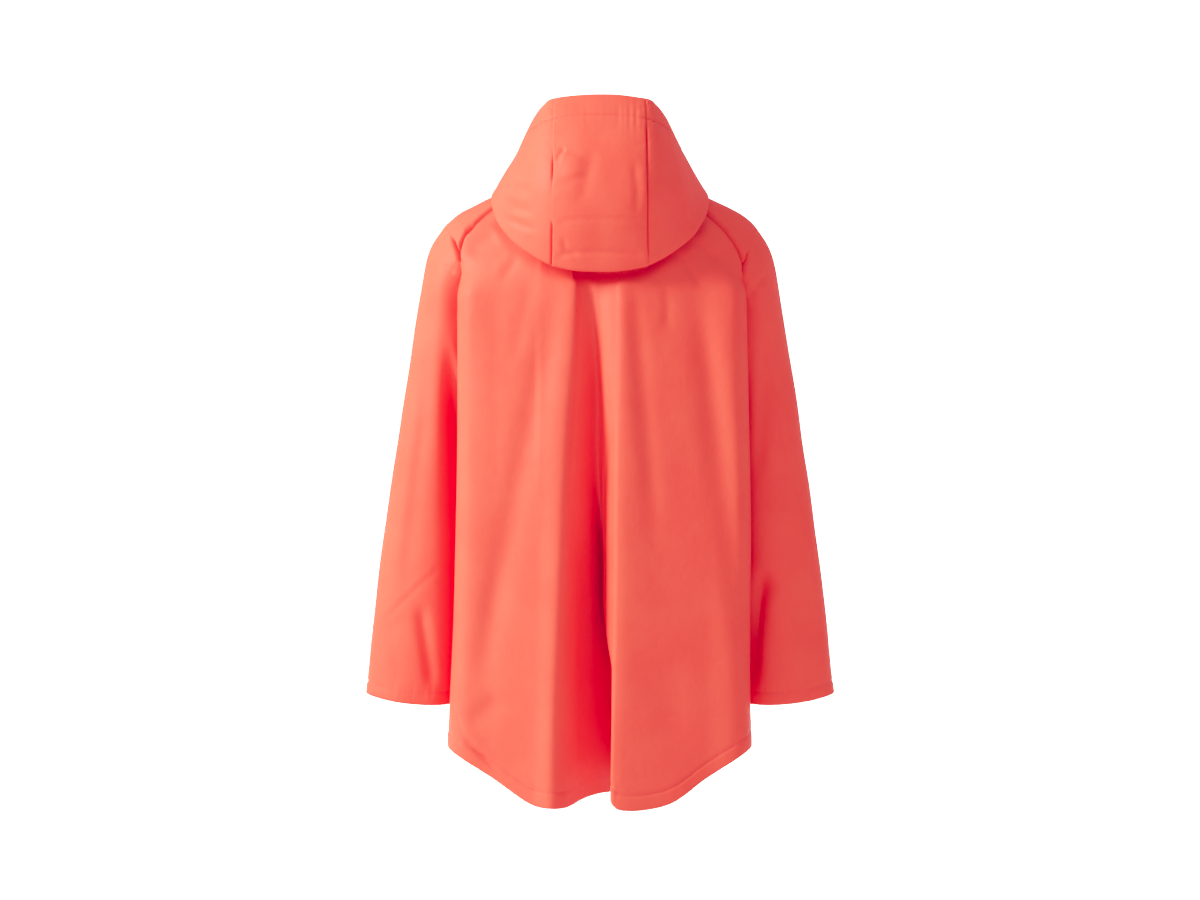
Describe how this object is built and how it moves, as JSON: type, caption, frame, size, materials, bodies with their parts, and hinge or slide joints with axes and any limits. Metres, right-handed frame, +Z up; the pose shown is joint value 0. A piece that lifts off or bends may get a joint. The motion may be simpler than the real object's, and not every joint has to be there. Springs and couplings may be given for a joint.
{
  "type": "kids rain jacket",
  "caption": "Child's hooded rain jacket in coated cloth, hollow as worn, hood down: raglan shoulder seams, a pleat down the back, a longer curved back hem and a press-stud front.",
  "frame": {"origin": "middle of the neck opening, level with the points where the shoulders meet the neck", "axes": "+Z up along the wearer's body, the front faces -Y, the back faces +Y, +X is the wearer's left"},
  "size_m": [0.432, 0.2013, 0.6396],
  "materials": {
    "coated_cloth": "matt, smooth, softly coated",
    "press_stud": "satin, dyed to match the cloth"
  },
  "bodies": {
    "root": {"back": "coated_cloth", "front_left": "coated_cloth", "front_right": "coated_cloth", "shoulder_left": "coated_cloth", "shoulder_right": "coated_cloth", "sleeve_left": "coated_cloth", "sleeve_right": "coated_cloth", "hood_left": "coated_cloth", "hood_right": "coated_cloth", "hood_strip": "coated_cloth", "stud_cap_1": "press_stud", "stud_cap_2": "press_stud", "stud_cap_3": "press_stud", "stud_cap_4": "press_stud", "stud_cap_5": "press_stud", "stud_cap_6": "press_stud", "stud_back_1": "press_stud", "stud_back_2": "press_stud", "stud_back_3": "press_stud", "stud_back_4": "press_stud", "stud_back_5": "press_stud", "stud_back_6": "press_stud"}
  },
  "joints": []
}
